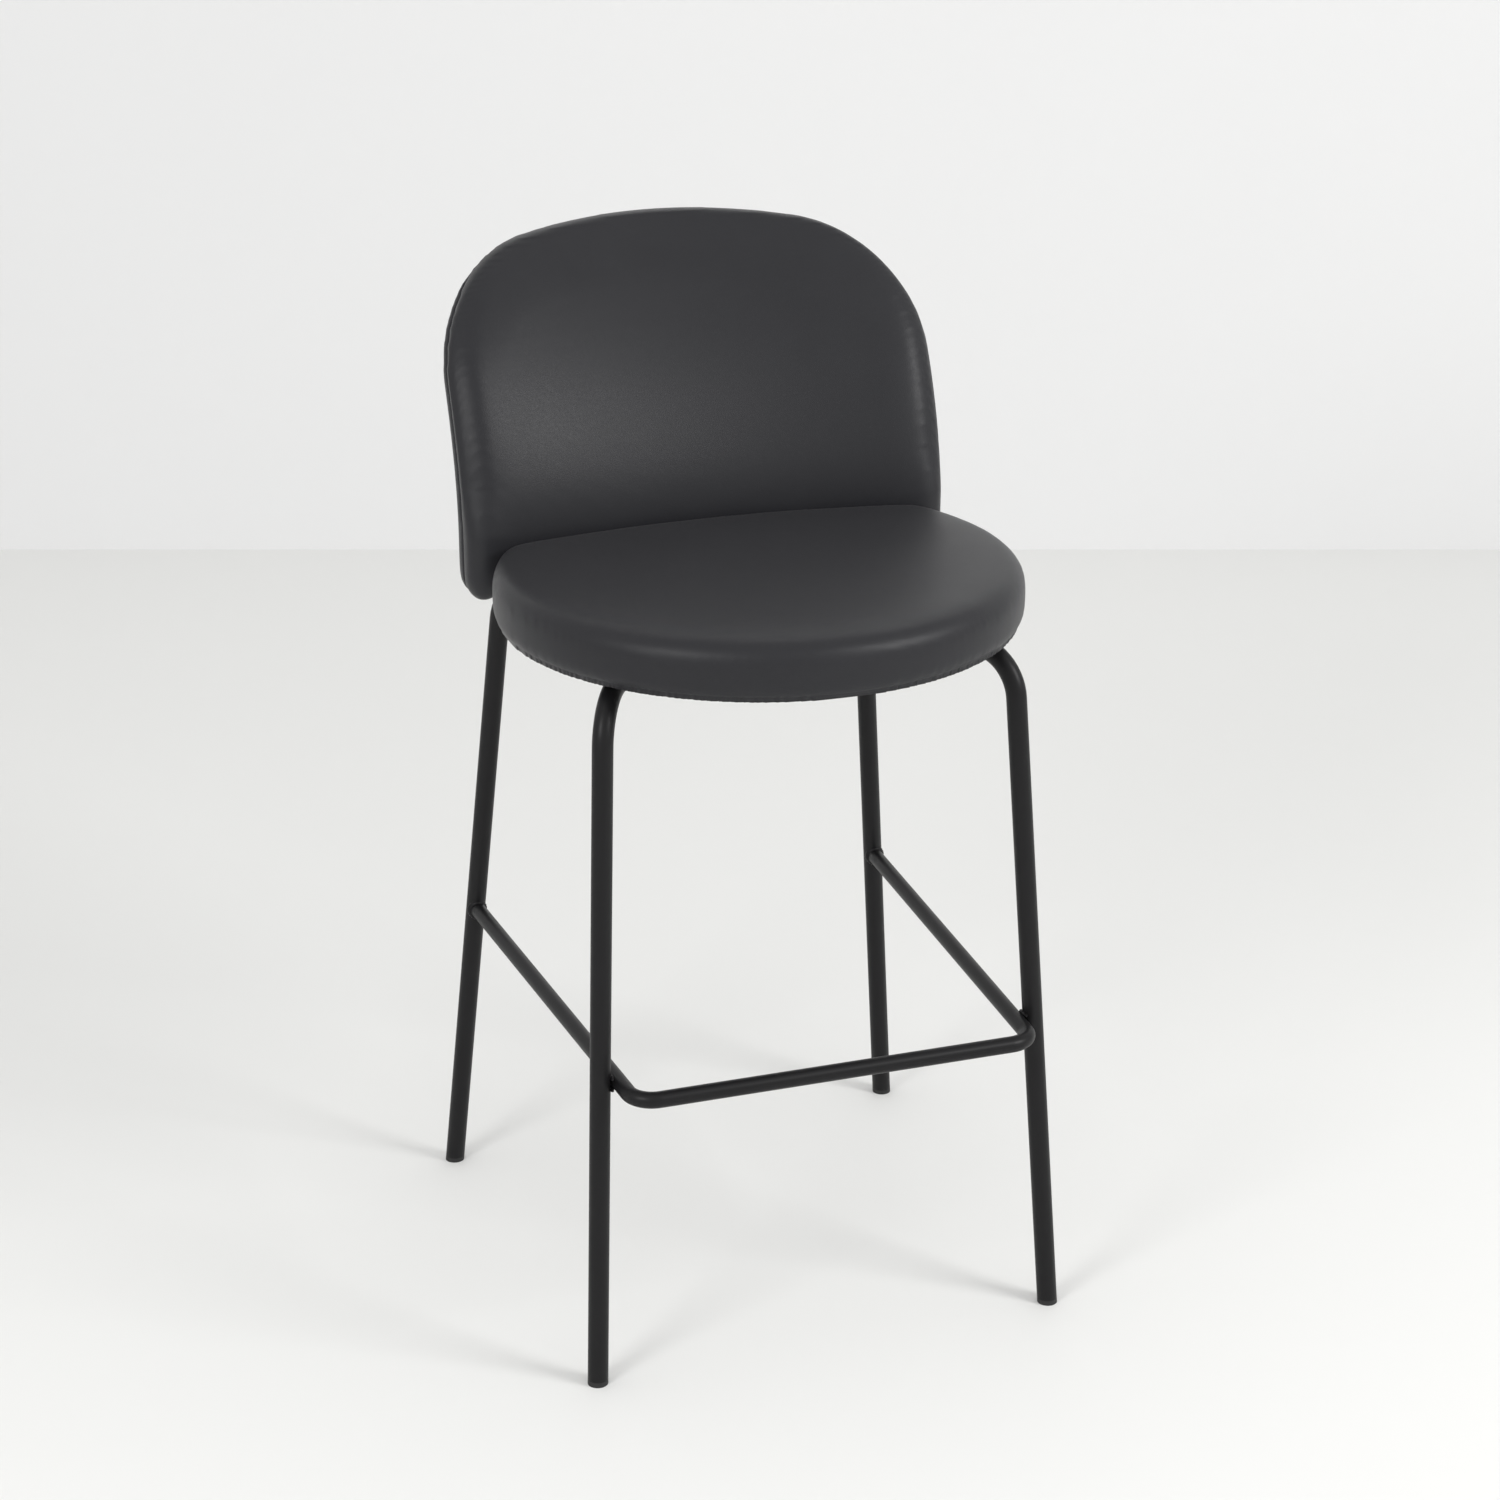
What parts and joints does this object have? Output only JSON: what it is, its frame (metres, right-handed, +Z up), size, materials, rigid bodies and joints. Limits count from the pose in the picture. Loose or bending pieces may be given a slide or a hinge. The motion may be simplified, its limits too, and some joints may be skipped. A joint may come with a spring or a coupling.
{
  "type": "bar stool with footrest",
  "caption": "Upholstered bar stool with a round seat, a dished wrap-around back, splayed tube legs and a bent tube footrest.",
  "frame": {"origin": "on the floor, under the middle of the overall box; the middle of the four feet is 7 mm nearer the front", "axes": "+Z up, -Y the way the sitter faces, +X the sitter's left hand; the stool mirrors about x = 0. Left and right in node names are as seen by someone facing the front of the stool, so left is -X."},
  "size_m": [0.52, 0.6124, 1.023],
  "materials": {
    "frame_steel": "satin black powder coat",
    "glide_plastic": "matt",
    "zinc_screws": "zinc plated",
    "leatherette": "smooth satin, charcoal grey",
    "underside_cloth": "black spunbond",
    "plywood": "sanded birch",
    "foam": "open cell foam"
  },
  "bodies": {
    "root": {"left_leg_frame": "frame_steel", "right_leg_frame": "frame_steel", "front_mount_bar": "frame_steel", "rear_mount_bar": "frame_steel", "footrest": "frame_steel", "left_back_bracket": "frame_steel", "right_back_bracket": "frame_steel", "front_left_glide": "glide_plastic", "front_right_glide": "glide_plastic", "rear_left_glide": "glide_plastic", "rear_right_glide": "glide_plastic", "seat_bolts": "zinc_screws", "seat_washers": "zinc_screws", "seat_pronged_nuts": "zinc_screws", "bracket_bolts": "zinc_screws", "bracket_pronged_nuts": "zinc_screws", "back_bolts": "zinc_screws", "back_pronged_nuts": "zinc_screws", "seat_board": "plywood", "seat_foam": "foam", "seat_cover": "leatherette", "seat_underside_cloth": "underside_cloth", "back_board": "plywood", "back_front_foam": "foam", "back_rear_foam": "foam", "back_front_cover": "leatherette", "back_rear_cover": "leatherette"}
  },
  "joints": []
}
